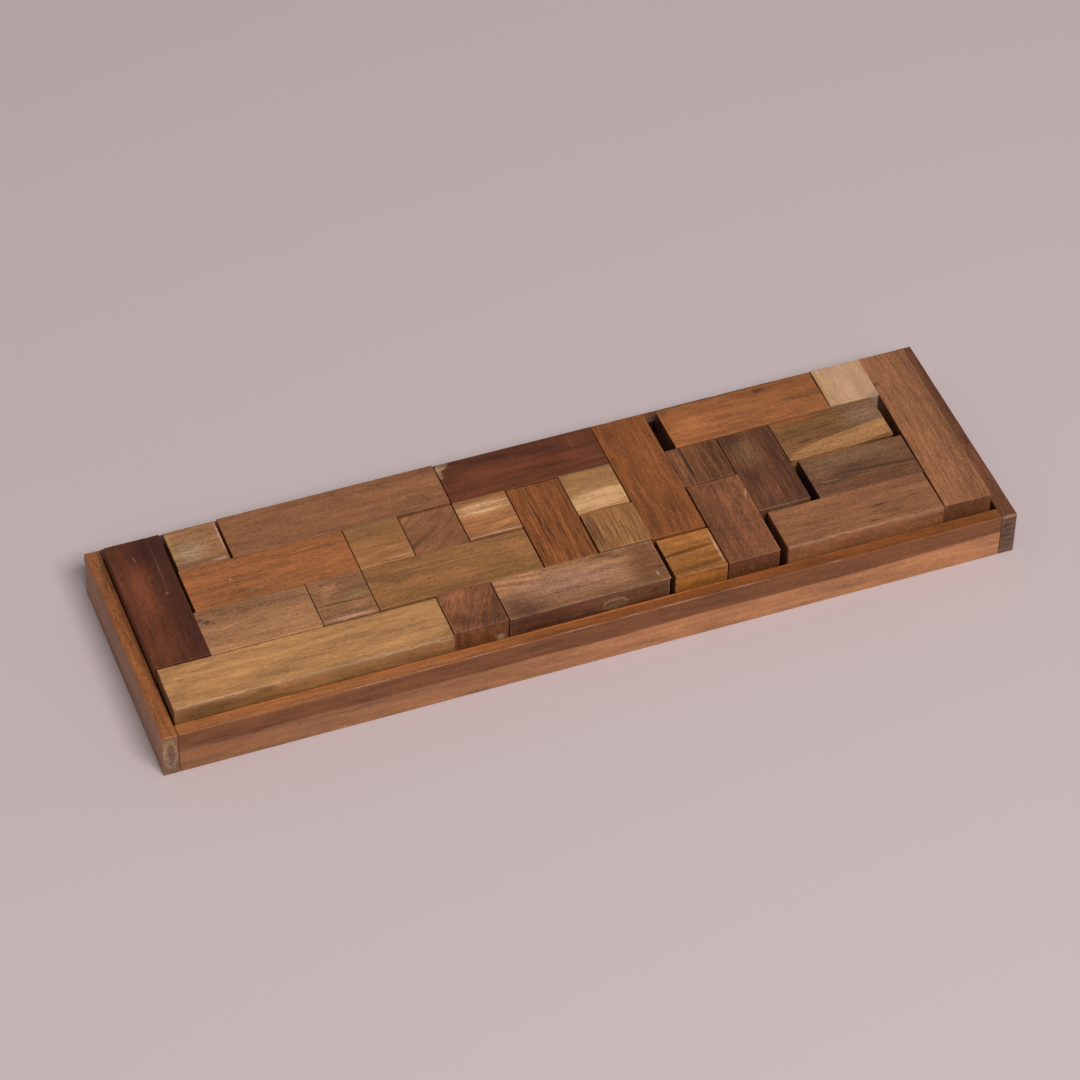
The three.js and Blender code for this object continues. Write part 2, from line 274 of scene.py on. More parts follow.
LOOKS = {
    "v_upright": wood(
        90, "mahogany", 0.95, (1.06, 0.9),
        patch(-4, 7, 9, 30, 1.38, 0.75, 0, 0.9), patch(3, 24, 14, 13, 0.72, 0.8, 0, 0.9),
        patch(7, -6, 5, 36, 0.82, 0.6, 0, 0.9), patch(-4, -22, 9, 14, 1.22, 0.5, 0, 0.9),
        scratch(5.5, 30, 5, 2.5, "ash", 0.3, 0.25), scratch(5, 2.5, 4, 2, "ash", 0.6, 0.5),
        scratch(4.5, -18, 4.5, -24, 1.4, 0.5, 0.3), scratch(-1, 19, -2, 23, "ash", 0.3, 0.5),
        sanding=(34, 0.75), fibre=0.16, streaks=0.12, grit=0.4, arris="umber", slot="dark_teak",
    ),
    "v_foot": wood(
        0, "tan", 1.05, (0.9, 1.06),
        patch(-10, 8, 30, 6, 0.8, 0.5, 6, 0.8), patch(6, 6, 26, 2, 0.85, 0.5, 9),
        patch(-19, 6, 2.5, 1.5, 0.55, 0.8), patch(-17, 4.5, 2.5, 2, 0.55, 0.8),
        patch(-15, 3.5, 1.5, 1, 0.6, 0.7), patch(-11, 6.5, 4, 1.5, 0.65, 0.6),
        patch(-3, 5.5, 5, 1.5, 0.7, 0.7), patch(4, 7, 4, 1, 0.7, 0.5, 8),
        patch(-7.5, 1, 20, 1, 1.2, 0.35, 9), patch(12, -5, 13, 8, 1.12, 0.4),
        grit=0.4, arris="fawn", slot="tan_teak",
    ),
    "z_head": wood(
        0, "tan", 1.0, (1.02, 0.88),
        patch(-3.5, -2, 11, 8, "fawn", 0.85, 0, 0.8), patch(-8.5, 2, 1.5, 15, "straw", 0.6),
        patch(3, 6.5, 6, 2.5, 0.85, 0.5), patch(0, -7.5, 17, 2, 0.75, 0.5),
        patch(9, 2, 0.8, 13, "bone", 0.5), patch(6.5, -8.5, 5, 1, "bone", 0.7),
        sanding=(80, 0.5), grit=0.45, arris="fawn", slot="tan_teak",
    ),
    "z_middle": wood(
        0, "amber", 1.0, (1.0, 1.02),
        patch(-20, 4, 30, 6, 1.05, 0.5), patch(12, -2, 30, 7, 1.05, 0.5, 5),
        scratch(-29, 2.5, -11, 2, 1.3, 0.5, 0.34), scratch(-11, 2, 7, 5, 1.25, 0.35, 0.3),
        scratch(7, 5, 21, 6.5, 1.35, 0.45, 0.34), scratch(-4, -5, 1, -4, "bone", 0.5, 0.36),
        patch(-7, -6.5, 4.5, 1.5, "fawn", 0.4, 0, 0.9), patch(-12.5, -3, 0.8, 0.8, 0.55, 0.9),
        patch(-14, 0.5, 0.6, 1, "bone", 0.7), patch(-18, -8.5, 24, 1.5, 0.85, 0.5, 4),
        patch(4, -4, 30, 1.2, 0.9, 0.4, 6),
        arris=1.15, slot="orange_teak",
    ),
    "z_tail": wood(
        0, "tan", 0.9, (1.0, 1.03),
        patch(-4, 4, 4, 9, 1.25, 0.6, -40), patch(3, 8, 12, 2.5, 0.85, 0.5, 4),
        patch(4, 3, 9, 2, 0.85, 0.5, 8), patch(0, -1, 19, 1, "olive", 0.6),
        scratch(-9, -2, 9.5, -2.5, 0.6, 0.8, 0.55), patch(5, 0, 8, 3, "olive", 0.5),
        patch(5, -5, 7, 2.5, 1.2, 0.5, 10), patch(-3, -6, 10, 4, 0.93, 0.5),
        patch(0, -9.5, 19, 1, "pink", 0.6),
        grit=0.45, arris="pink", slot="olive_teak",
    ),
    "y_bar": wood(
        0, "mauve", 1.0, (1.0, 0.98),
        patch(-12, 7.5, 26, 2, 0.92, 0.4), patch(37, 8.5, 7, 4, 0.85, 0.6),
        patch(14, 1, 26, 8, 1.06, 0.4, 6), patch(-20, 3, 20, 5, 1.05, 0.4, 8),
        patch(37, -2, 6, 14, 1.07, 0.4),
        streaks=0.06, fibre=0.1, sanding=(24, 0.2), arris=1.06, slot="mauve_teak",
    ),
    "y_stub": wood(
        0, "moss", 1.05, (0.87, 1.07),
        scratch(0, -8.5, 9.5, -8.5, "bone", 0.5, 0.5), patch(0, 8, 20, 4, "olive", 0.3),
        streaks=0.07, fibre=0.12, grit=0.24, arris=1.25, slot="golden_teak",
    ),
    "u_bar": wood(
        0, "mahogany", 1.1, (0.96, 1.0),
        mark((-27.5, 8.5, STICK_HALF), (3, 1.5, 4), "fawn", 0.6, 20, 0.3),
        mark((-29, 6, STICK_HALF), (0.9, 3.5, 4), "fawn", 0.55, 0, 0.3),
        patch(-23, 8.5, 5, 1.2, 0.75, 0.7), patch(-4, 6.5, 40, 2.5, 0.75, 0.7, -6),
        patch(12, 4, 20, 4, 0.8, 0.6, -8), patch(-18, 1, 16, 7, 1.16, 0.5), patch(-27, 1, 4, 4, 0.8, 0.5),
        patch(22, 0, 12, 14, 1.14, 0.45), patch(6, -3, 26, 2, 0.82, 0.4, -5),
        patch(-16, -8.5, 30, 1.5, 1.2, 0.3), scratch(20, 9, 20.5, 1, 1.4, 0.4, 0.5),
        scratch(15, 9, 15.5, 5, 1.3, 0.4, 0.5),
        sanding=(94, 0.4), fibre=0.14, streaks=0.12, grit=0.34, arris=1.12, slot="dark_teak",
    ),
    "u_left_leg": wood(
        0, "copper", 1.0, (0.8, 0.9),
        patch(0, 4, 18, 6, "cream", 0.75, 0, 0.5), patch(0, 5.5, 18, 1, "sun", 0.8),
        scratch(-9, 3.5, 9, 4, "copper", 0.8, 0.6), patch(0, 2.5, 18, 1, "sun", 0.75),
        scratch(-7, -4, 9.5, -3.5, 0.7, 0.8, 0.5), scratch(2, -7.5, 8.5, -6.5, 0.65, 0.9, 0.5),
        scratch(-6, -6, 4, -5.5, 0.8, 0.6, 0.4), patch(5, -5, 6, 1, 1.15, 0.6),
        patch(0, -9, 19, 0.8, "pink", 0.6),
        wander=0.03, streaks=0.12, grit=0.3, arris="bone", slot="cream_teak",
    ),
    "u_right_leg": wood(
        0, "honey", 0.95, (0.86, 1.08),
        mark((0, -5, STICK_HALF), (14, 4.5, 6), "cream", 0.8, 4, 0.1),
        scratch(-9, -2, 9.5, 0, 0.85, 0.5, 0.5), scratch(-8, -4.5, 9, -3, "sun", 0.4, 0.5),
        wander=0.03, streaks=0.05, fibre=0.12, grit=0.24, arris="fawn", slot="cream_teak",
    ),
    "x_bar": wood(
        0, "moss", 1.0, (1.0, 0.94),
        scratch(-16, 2.5, 20, 3, 0.78, 0.6, 0.6), scratch(-26, 4.5, 0, 4.5, 0.85, 0.4, 0.6),
        patch(26, 1, 7, 14, 1.1, 0.5), patch(2, -8.5, 30, 2, 0.8, 0.5), patch(-8, -1, 34, 2.5, 1.08, 0.4),
        patch(10, -4.5, 30, 1.2, 1.12, 0.4),
        streaks=0.1, fibre=0.14, arris=1.15, slot="olive_teak",
    ),
    "x_top": wood(
        40, "mauve", 0.95, (1.06, 0.96),
        mark((-4, -2, STICK_HALF), (9, 1.1, 5), 0.77, 0.8, 33, 0.5), patch(-5, 5, 8, 8, 1.1, 0.5),
        patch(5, 5, 8, 5, 0.86, 0.6, -30), patch(6, -5, 6, 7, 0.88, 0.6),
        patch(-6, -7.5, 7, 2.5, 1.1, 0.5),
        wander=0.06, streaks=0.12, pith=(28, -14), sanding=(62, 0.45), grit=0.4, arris=1.12,
        edges={"left back": 1.2, "right back": 0.8}, slot="mauve_teak",
    ),
    "x_bottom": wood(
        65, "bark", 1.0, (1.07, 0.93),
        patch(-5, 7, 8, 4, 1.28, 0.6), patch(-6, -4, 6, 9, 0.72, 0.6, 60), patch(3, -6, 12, 5, 0.82, 0.6),
        patch(4, 3, 8, 8, 1.14, 0.6), patch(8, -4, 3, 10, 0.8, 0.5), on_front(-5, 5, 3, 7, 0.7, 0.6),
        on_front(2, 6, 2, 8, 0.8, 0.5), on_front(7, 2.5, 3, 3, "fawn", 0.7),
        on_front(-8.5, 7, 1.5, 9, 0.6, 0.7),
        sanding=(-36, 0.9), pith=(14, -16), grit=0.5, wander=0.2, fibre=0.3, front="sienna",
        arris="copper", slot="grey_teak",
    ),
    "t_stem": wood(
        90, "russet", 1.0, (0.98, 0.98),
        scratch(-6.5, -19, -6, 19, 1.25, 0.6, 0.7), scratch(-4, -19, -4, 19, 0.7, 0.7, 0.5),
        scratch(2.5, -19, 2, 19, 0.7, 0.7, 0.6), scratch(5.5, -19, 5, 19, 0.75, 0.6, 0.5),
        scratch(4, -19, 3.5, 19, 1.3, 0.5, 0.5), scratch(0, -19, -0.5, 19, 1.2, 0.5, 0.5),
        streaks=0.3, stripe=0.6, fibre=0.55, grit=0.3, wander=0.02, arris=1.1, slot="striped_teak",
    ),
    "t_bar": wood(
        0, "tan", 1.0, (1.05, 0.88),
        patch(-21, 7, 16, 1.8, 1.36, 0.75, -6), patch(-24, 4.5, 12, 1.3, 1.28, 0.7, -8),
        patch(-17, 9, 8, 1, 1.35, 0.7), patch(-20, 5.8, 18, 0.8, 0.85, 0.5, -7),
        patch(-24, -5, 13, 8, "plum", 0.7, -10, 0.9), patch(-4, 1, 32, 10, "pink", 0.3, -5, 0.9),
        patch(25, 0, 13, 20, "sienna", 0.85, 0, 0.7), patch(10, 8.5, 8, 1.5, 0.65, 0.7),
        patch(15, 6.5, 5, 1.5, 0.65, 0.6, -10), patch(-22, -8, 16, 2, 0.65, 0.5),
        patch(26, -6, 1, 2, "bone", 0.5), on_front(-18, 6, 24, 9, "umber", 0.7),
        on_front(14, 6, 26, 9, 0.7, 0.6), on_front(9, 4.5, 9, 5.5, "fawn", 0.45, soft=0.15),
        on_front(9, 4, 8, 4.5, "umber", 0.7, soft=0.15), on_front(9, 3.5, 5.5, 3, "olive", 0.4, soft=0.2),
        front="plum", streaks=0.14, saw=0.08, grit=0.42, sanding=(-8, 0.6), arris="pink", wear=0.35,
        edges={"front right": 2.2, "right top": 0.7}, slot="mauve_teak",
    ),
    "f_bar": wood(
        90, "russet", 1.0, (1.0, 1.02),
        patch(5.5, 10, 8, 22, 1.17, 0.6, 0, 0.9), patch(-4, 22, 10, 14, 0.97, 0.5),
        patch(2.5, -18, 1.3, 22, 0.75, 0.6, -5), patch(5.5, -20, 1.2, 18, 0.8, 0.5, -8),
        patch(-1, -24, 1.2, 12, 0.82, 0.5, -8), patch(8, -27, 3, 5, "rust", 0.5),
        patch(-6.5, -20, 2, 18, 0.87, 0.4, -3), patch(-5, -3, 6, 16, 1.05, 0.4),
        sanding=(110, 0.4), streaks=0.14, fibre=0.3, grit=0.36, arris=1.25, slot="orange_teak",
    ),
    "f_left_arm": wood(
        90, "moss", 1.05, (0.93, 0.99),
        patch(-7.5, 0, 3.5, 18, "sienna", 0.7), scratch(-6.5, -9, -6.5, 9, 0.65, 0.8, 0.5),
        scratch(-5.5, -9, -5.5, 9, 1.25, 0.6, 0.4), scratch(-3.5, -9, -3.5, 9, 1.25, 0.5, 0.35),
        streaks=0.2, stripe=0.5, fibre=0.42, grit=0.24, saw=0.1, wander=0.02, arris=1.15,
        slot="striped_teak",
    ),
    "f_right_arm": wood(
        90, "sienna", 0.95, (1.03, 0.93),
        patch(-7.5, 0, 2, 18, 1.25, 0.6), scratch(-4.5, -9.5, -4.5, 9.5, 0.45, 0.9, 0.8),
        scratch(-5.5, -9.5, -6, 9, 1.4, 0.6, 0.5), scratch(-0.5, -9.5, -1, 9.5, 1.3, 0.5, 0.45),
        scratch(2, -9.5, 2, 9.5, 0.6, 0.6, 0.5), scratch(4.5, -9, 4, 9, 1.3, 0.5, 0.5),
        scratch(6, -9, 6, 9, 0.6, 0.6, 0.6),
        streaks=0.26, stripe=0.7, fibre=0.55, grit=0.4, wander=0.02, arris=1.25, slot="striped_teak",
    ),
    "n_back": wood(
        0, "amber", 1.0, (0.93, 1.0),
        patch(-20, -1, 16, 9, 1.2, 0.55, 0, 0.9), patch(-2, 0, 26, 8, 1.07, 0.4),
        patch(9, 7.5, 5, 2, 0.5, 0.8), patch(16, 8, 16, 1.2, 0.75, 0.6), patch(2, 8, 12, 1, 0.82, 0.5),
        patch(24, 3, 14, 10, 0.83, 0.6), patch(-28, 7.5, 3, 3, 0.78, 0.6),
        patch(-10, 4, 30, 1, 0.87, 0.4, 3), patch(0, -8, 50, 1.5, 0.92, 0.4),
        # Its left end takes painted shade, for the deep gap between this stick and f_bar.
        sanding=(88, 0.3), left_end="gap_shade", streaks=0.12, fibre=0.12, grit=0.36, arris=1.15,
        slot="orange_teak",
    ),
    "n_front": wood(
        0, "moss", 0.85, (1.02, 1.05),
        patch(-12, 8.5, 18, 2, "rust", 0.75, 2), patch(14, 3, 14, 12, "ash", 0.35, 0, 0.9),
        mark((6, -6.5, STICK_HALF), (26, 4, 8), "honey", 0.7, 6.5, 0.1),
        scratch(-19, -6, 19, -1, 1.5, 0.5, 0.45), patch(16, -4, 8, 4, 1.4, 0.5),
        patch(-11, -2.5, 5, 1.2, 0.72, 0.7, 6), patch(-2, 2, 9, 1.2, 0.8, 0.6, 4),
        patch(-8, 4.5, 5, 1, 0.78, 0.6), patch(5, 6, 8, 1, 0.85, 0.5),
        front=0.88, sanding=(88, 0.5), grit=0.45, arris="fawn",
        edges={"right back": 2.2, "right front": 1.6, "right top": 0.8}, slot="olive_teak",
    ),
    "w_low": wood(
        90, "bark", 1.0, (0.93, 1.07),
        patch(-8.5, 4, 2, 24, 0.78, 0.6), patch(4, -12, 9, 14, 1.08, 0.4), patch(2, 10, 5, 9, 1.25, 0.5),
        patch(-4, 6, 4, 12, 0.85, 0.5, 8), patch(7, -10, 3, 10, 0.92, 0.4),
        scratch(8, 8, 9.5, 12, "bone", 0.5, 0.5),
        sanding=(62, 1.0), front="umber", streaks=0.18, fibre=0.28, grit=0.5, arris=1.4,
        edges={"right front": 0.8}, slot="striped_teak",
    ),
    "w_foot": wood(
        3, "ginger", 1.05, (1.07, 0.95),
        patch(-1, 1.5, 20, 1.8, 0.64, 0.85, 3, 0.5), patch(2, -6.5, 15, 2.2, 0.72, 0.8, 4, 0.5),
        patch(9, 0, 0.8, 14, "bone", 0.5, 0, 0.4), patch(-8, -7, 4, 2, 0.78, 0.6),
        patch(5, 6.5, 6, 3.5, 1.25, 0.5, -40), patch(-2, 7, 8, 4, 1.15, 0.4),
        scratch(3, 7.5, 7, 3, 1.4, 0.4, 0.5), on_front(0, 7, 19, 3, 1.12, 0.5),
        front=0.97, streaks=0.12, wander=0.04, arris="bone", left_end="umber",
        edges={"left back": 1.6, "front left": 1.0, "right back": 0.5}, slot="golden_teak",
    ),
    "w_high": wood(
        90, "umber", 1.1, (0.97, 0.92),
        patch(-3, 9, 9, 11, "olive", 0.3, 0, 0.9), patch(-6, 17, 8, 5, 0.75, 0.5),
        patch(-5, -3, 5, 7, 0.8, 0.6), patch(6.5, -6, 4, 24, 0.82, 0.55), patch(-3, -13, 8, 9, 1.2, 0.4),
        scratch(4.5, -19, 4, -1, 1.45, 0.6, 0.3), scratch(6.5, -19, 6.5, 0, 1.35, 0.6, 0.3),
        scratch(8.5, -19, 8.5, 19, 1.25, 0.4, 0.4), scratch(1.5, -18, 1, -6, 1.4, 0.5, 0.3),
        scratch(-4, -18, -5, -8, 1.4, 0.4, 0.3), patch(0, -19.5, 19, 0.7, "ash", 0.25),
        streaks=0.2, stripe=0.7, fibre=0.46, grit=0.5, sanding=(75, 0.6), arris=1.2, slot="dark_teak",
    ),
    "l_bar": wood(
        90, "mauve", 1.05, (1.02, 0.94),
        patch(-8, 25.5, 2.5, 2, 0.7, 0.8), patch(-6, 23, 6, 3, 1.1, 0.4),
        patch(1, -20, 2, 38, 1.12, 0.4, 1), patch(4, 20, 4, 30, 0.9, 0.5), patch(7, -5, 2, 60, 0.88, 0.5),
        patch(0, 12, 16, 4, 1.12, 0.4, -30), scratch(-0.5, -38, -1.5, -8, 1.2, 0.4, 0.4),
        scratch(2, 8, 1, 30, 1.15, 0.4, 0.4),
        # Its left end takes painted shade, for the deep gap between this stick and n_front.
        front="umber", left_end="umber", streaks=0.2, stripe=0.8, fibre=0.32, grit=0.36, arris=1.1,
        slot="orange_teak",
    ),
    "l_foot": wood(
        90, "oat", 1.0, (1.0, 0.97),
        scratch(3.5, -7, 3.5, 7, 0.83, 0.5, 0.5), patch(5, -2, 3, 16, 0.9, 0.5),
        patch(0, 9.5, 18, 1.5, 0.95, 0.5), patch(-7, 2, 4, 15, "cream", 0.5),
        patch(1, -3, 4, 12, 1.05, 0.5), patch(-9, 0, 1, 17, "straw", 0.5),
        mark((8, -9.5, 9), (3, 1.6, 3), "ash", 0.7, 0, 0.5),
        streaks=0.04, fibre=0.08, grit=0.12, cloud=0.1, sanding=(90, 0.15), arris=1.05, slot="cream_teak",
    ),
    "p_short": wood(
        0, "walnut", 0.95, (1.06, 1.02),
        patch(4, -1.5, 30, 1.4, 0.65, 0.7, -5), patch(-8, -3.5, 16, 1, 0.7, 0.6, 3),
        patch(12, -4.5, 14, 1, 0.72, 0.6, -3), patch(-2, 1.5, 10, 2, 0.8, 0.5),
        patch(-2, 6, 30, 6, "olive", 0.35), patch(6, -7, 26, 6, "sienna", 0.6),
        patch(-14, 1, 9, 8, 1.22, 0.4), scratch(-18, -2.5, -9, -3.5, "fawn", 0.6, 0.3),
        scratch(-17, 1.5, -11, 2, "fawn", 0.4, 0.3), scratch(-6, -3, 6, -4.5, 1.4, 0.4, 0.3),
        # Its left end takes painted shade, for the deep gap between this stick and w_high.
        left_end="gap_shade", streaks=0.16, grit=0.5, sanding=(86, 0.4), arris=1.25, slot="grey_teak",
    ),
    "p_long": wood(
        0, "mauve", 1.0, (1.0, 0.99),
        patch(-20, 5, 18, 5, 1.1, 0.4, 3), patch(-27, 0, 5, 12, 1.05, 0.4),
        scratch(6, -0.5, 11.5, 0, 0.45, 0.9, 0.55), scratch(20, 0.5, 24.5, 0.5, 0.45, 0.85, 0.45),
        scratch(2.5, -7, 6, -7, 0.5, 0.8, 0.5), patch(12, -4.5, 8, 2, 0.7, 0.6),
        patch(-18, -8.5, 4, 1.5, 0.75, 0.5), patch(-2, 6, 20, 1, 0.88, 0.4, 6),
        # Its left end takes painted shade for the deep gap beside w_low, and its darker arris tone is
        # painted shade that damps the lamp's light on its rounded edges.
        front=0.95, left_end="umber", streaks=0.12, fibre=0.12, grit=0.42, arris=0.9, wear=0.7,
        edges={"front top": 1.4, "left front": 1.0, "left back": 1.0, "left top": 0.6}, slot="mauve_teak",
    ),
    "i_stick": wood(
        0, "honey", 1.0, (0.99, 0.98),
        patch(-44, 2.5, 2, 1.2, 0.72, 0.8), patch(-44, 2.5, 5, 3, 1.08, 0.4),
        patch(12, -2, 44, 7, 0.93, 0.55, 3, 0.9), patch(-10, -5, 50, 1.5, 0.9, 0.4),
        patch(20, 7, 60, 1.5, 0.93, 0.4), patch(-26, -1.5, 40, 1.5, 1.08, 0.5),
        patch(-30, -8, 30, 2, 0.9, 0.4), on_front(-38, 5.5, 18, 7, 0.58, 0.7),
        on_front(-20, 5.5, 18, 4, 0.66, 0.6), on_front(-17, 8.5, 6, 2.5, 0.5, 0.6),
        on_front(14, 6, 60, 12, 0.82, 0.4),
        # Its darker arris tone is painted shade that damps the lamp's light on its rounded front edge.
        front=0.76, left_end="plum", streaks=0.1, fibre=0.14, grit=0.26, arris=0.76, wear=0.9,
        edges={"front top": 1.4, "left front": 0.6}, slot="golden_teak",
    ),
    "left_rail": wood(
        90, "amber", 0.95, (1.04, 0.97),
        patch(0.5, 22, 2, 44, 1.1, 0.4), patch(1, -25, 1.5, 36, 1.12, 0.4),
        patch(-2, -5, 1.5, 60, 0.9, 0.4),
        mark((-0.1, RAIL_FRONT, 1), (2.3, 1.2, 6.4), "fawn", 0.75, 0, 0.3),
        mark((0, RAIL_FRONT, 0.2), (1.8, 1.2, 5.8), "grey", 0.95, 0, 0.3),
        mark((0.3, RAIL_FRONT, 2), (1.1, 1.2, 5), 0.68, 0.5, 0, 0.5),
        mark((-1, RAIL_FRONT, -2), (0.3, 1.2, 4), "ash", 0.5, 0, 0.4),
        front="grey", left_end="drab", streaks=0.2, fibre=0.25, grit=0.45, arris=1.15,
        edges={"left top": 1.3, "left back": 1.8, "back top": 0.7, "left front": 0.6}, slot="brown_rail",
    ),
    "right_rail": wood(
        90, "umber", 1.2, (0.97, 0.94),
        patch(0, -20, 4, 24, 1.2, 0.5), patch(0, 24, 3, 20, 1.1, 0.4),
        *end_rings(6, 7.2, 2.4, 0.9, (2.2, 1.2, 0.9), 0.6, 0.5),
        *end_rings(5, 6.4, 2.7, -0.8, (2, 1.2, 0.5), "ash", 0.22),
        mark((0, RAIL_FRONT, 8.7), (3, 1.2, 0.4), "fawn", 0.6, 0, 0.6),
        front="dusk", streaks=0.22, fibre=0.3, grit=0.5, arris=1.1, slot="dark_rail",
    ),
    "front_rail": wood(
        0, "russet", 1.0, (1.03, 0.94),
        mark((-105, 0, RAIL_TOP), (75, 2.4, 1.6), "copper", 0.55, 0, 0.5),
        mark((-50, 2, RAIL_TOP), (110, 0.6, 1.2), 1.35, 0.8, 0, 0.4),
        mark((90, 2.2, RAIL_TOP), (64, 0.4, 1.2), 1.2, 0.6, 0, 0.4),
        mark((85, -1, RAIL_TOP), (60, 1.6, 1.2), 0.92, 0.6, 0, 0.6),
        mark((-140, LONG_RAIL_FRONT, 3), (7, 1, 0.9), 0.7, 0.5, 0, 0.5),
        mark((-118, LONG_RAIL_FRONT, 2), (9, 1, 0.6), 0.78, 0.4, 0, 0.5),
        mark((-140, LONG_RAIL_FRONT, -2.5), (9, 1, 1.5), 1.25, 0.5, 0, 0.6),
        *rail_chips("pink", 0.35),
        front="sienna", two_tone=True, saw=0.05, streaks=0.12, fibre=0.12, grit=0.24, arris=1.12,
        wear=0.3,
        edges={"front under": 0.08, "right front": 0.08, "right top": 0.08,
               "left front": 0.45, "left top": 0.5},
        slot="two_tone_rail",
    ),
    "back_rail": wood(
        0, "walnut", 0.9, (1.0, 1.0),
        # Its front face, the rail's inner face behind the sticks, takes painted shade.
        two_tone=True, front="gap_shade", streaks=0.14, saw=0.05, arris=1.1, slot="two_tone_rail",
    ),
    "base_panel": wood(
        0, "tan", 0.95, (0.95, 1.05),
        streaks=0.14, wander=0.4, arris=1.0, slot="tan_teak",
    ),
}

# ---------------------------------------------------------------- the node trees


def add(tree, kind, *values, out=0, named=None, **settings):
    """Adds a node, sets or links its inputs, and gives the output socket that is asked for."""
    node = tree.nodes.new("ShaderNode" + kind)
    for key, value in settings.items():
        setattr(node, key, value)
    for key, value in [*enumerate(values), *(named or {}).items()]:
        if isinstance(value, bpy.types.NodeSocket):
            tree.links.new(value, node.inputs[key])
        elif value is not None:
            node.inputs[key].default_value = value
    return node.outputs[out] if len(node.outputs) else None


def maths(tree, operation, *values):
    return add(tree, "Math", *values, operation=operation)


def vector_maths(tree, operation, *values, out=0):
    return add(tree, "VectorMath", *values, out=out, operation=operation)


def split(tree, vector):
    """The X, Y and Z of a vector."""
    node = tree.nodes.new("ShaderNodeSeparateXYZ")
    tree.links.new(vector, node.inputs[0])
    return node.outputs


def turned(tree, vector, turn):
    """A place as seen from axes that are turned by turn degrees about Z."""
    angle = math.radians(-turn)
    return add(tree, "VectorRotate", vector, (0, 0, 0), (0, 0, 1), angle, rotation_type="Z_AXIS")


def spread(tree, value, low, high, to_low=0.0, to_high=1.0):
    """Takes low to to_low and high to to_high, with smooth ends."""
    return add(tree, "MapRange", value, low, high, to_low, to_high, interpolation_type="SMOOTHSTEP")


def mix(tree, amount, first, second, blend="MIX"):
    named = {0: amount, 6: first, 7: second}
    return add(tree, "Mix", out=2, named=named, data_type="RGBA", blend_type=blend, clamp_result=False)


def noise(tree, vector, stretch, detail, roughness, turn=0.0):
    """Noise whose features are stretch millimetres long along each axis, turned by turn degrees about Z."""
    scaled = vector_maths(tree, "MULTIPLY", turned(tree, vector, turn), tuple(1 / s for s in stretch))
    named = {"Vector": scaled, "Scale": 1.0, "Detail": detail, "Roughness": roughness}
    return add(tree, "TexNoise", named=named)


def centred(tree, value, amount, middle=0.0):
    """Takes noise from 0 to 1 to a change of twice that amount down or up from the middle."""
    return maths(tree, "MULTIPLY_ADD", value, amount * 4, middle - amount * 2)


def ramp(tree, value, colours):
    """Three colours, spread over values from 0 to 1."""
    node = tree.nodes.new("ShaderNodeValToRGB")
    stops = node.color_ramp.elements
    stops.new(0.5)
    for position, stop, colour in zip((0.0, 0.5, 1.0), stops, colours):
        stop.position = position
        stop.color = colour
    tree.links.new(value, node.inputs[0])
    return node.outputs[0]


def scaled_colour(tree, colour, factor):
    grey = add(tree, "CombineXYZ", factor, factor, factor)
    return mix(tree, 1.0, colour, grey, "MULTIPLY")


def facing(tree, normal, axis, sign):
    """1 on the faces that look along an axis, 0 on the others."""
    along = maths(tree, "MULTIPLY", split(tree, normal)[axis], sign)
    return spread(tree, along, 0.55, 0.9)


# ---------------------------------------------------------------- the wood


def banded(tree, look, size, along, wander):
    """Growth rings about the pith, which take the tone from one end shade to the other over the top face."""
    grain = math.radians(look["grain"])
    across = abs(size[0] * math.sin(grain)) + abs(size[1] * math.cos(grain))
    pith_across, pith_up = look["pith"]
    from_pith = vector_maths(tree, "ADD", along, (0, -pith_across, -pith_up))
    flat = vector_maths(tree, "MULTIPLY", from_pith, (0, 1, 1))
    radius = vector_maths(tree, "LENGTH", flat, out=1)
    rise = size[2] / 2 - pith_up
    near = math.hypot(across / 2 - pith_across, rise)
    far = math.hypot(-across / 2 - pith_across, rise)
    ring = add(tree, "MapRange", radius, near, far, 0.0, 1.0, clamp=False)
    band = maths(tree, "MULTIPLY_ADD", maths(tree, "SUBTRACT", wander, 0.5), look["wander"] * 4, ring)
    back, front = look["ends"]
    return ramp(tree, band, [paint(look, shade) for shade in (back, 1.0, front)])


def tinted_and_shaded_faces(tree, look, colour, normal):
    """Gives the front face and the left end their own tones, which on faces deep in the gaps are painted
    shade.
    """
    for key, axis, sign in (("front", 1, -1), ("left_end", 0, -1)):
        if key in look:
            amount = maths(tree, "MULTIPLY", facing(tree, normal, axis, sign), FACE_TINT)
            colour = mix(tree, amount, colour, paint(look, look[key]))
    return colour


def two_tone(tree, colour, place, wander):
    """The long rails are brown above and light orange below, with a line between that rises to the right."""
    x, _, height = split(tree, place)
    line = add(tree, "MapRange", x, LINE_RISES_FROM, LONG_RAIL_END, *LINE_HEIGHTS)
    sway = add(tree, "MapRange", x, -LONG_RAIL_END, 0.0, *LINE_SWAYS)
    wavy = maths(tree, "MULTIPLY_ADD", maths(tree, "SUBTRACT", wander, 0.5), sway, line)
    below = spread(tree, maths(tree, "SUBTRACT", wavy, height), -LINE_SOFT, LINE_SOFT)
    shade = add(tree, "MapRange", x, -LONG_RAIL_END, LONG_RAIL_END, 0.0, 1.0)
    lower = ramp(tree, shade, [linear(SAPWOOD, s) for s in SAPWOOD_SHADES])
    return mix(tree, below, colour, lower)


def marked(tree, look, colour, place, outline):
    """Lays the marks over the colour. outline is noise that breaks up their edges."""
    for one in look["marks"]:
        turn = (0, 0, math.radians(one["turn"]))
        local = add(tree, "Mapping", place, one["place"], turn, one["half"], vector_type="TEXTURE")
        away = vector_maths(tree, "LENGTH", local, out=1)
        broken = maths(tree, "MULTIPLY_ADD", outline, MARK_NOISE, away)
        outer, inner = MARK_REACH + one["soft"], MARK_REACH - one["soft"]
        inside = spread(tree, broken, outer, inner, 0.0, one["amount"])
        colour = mix(tree, inside, colour, paint(look, one["tone"]))
    return colour


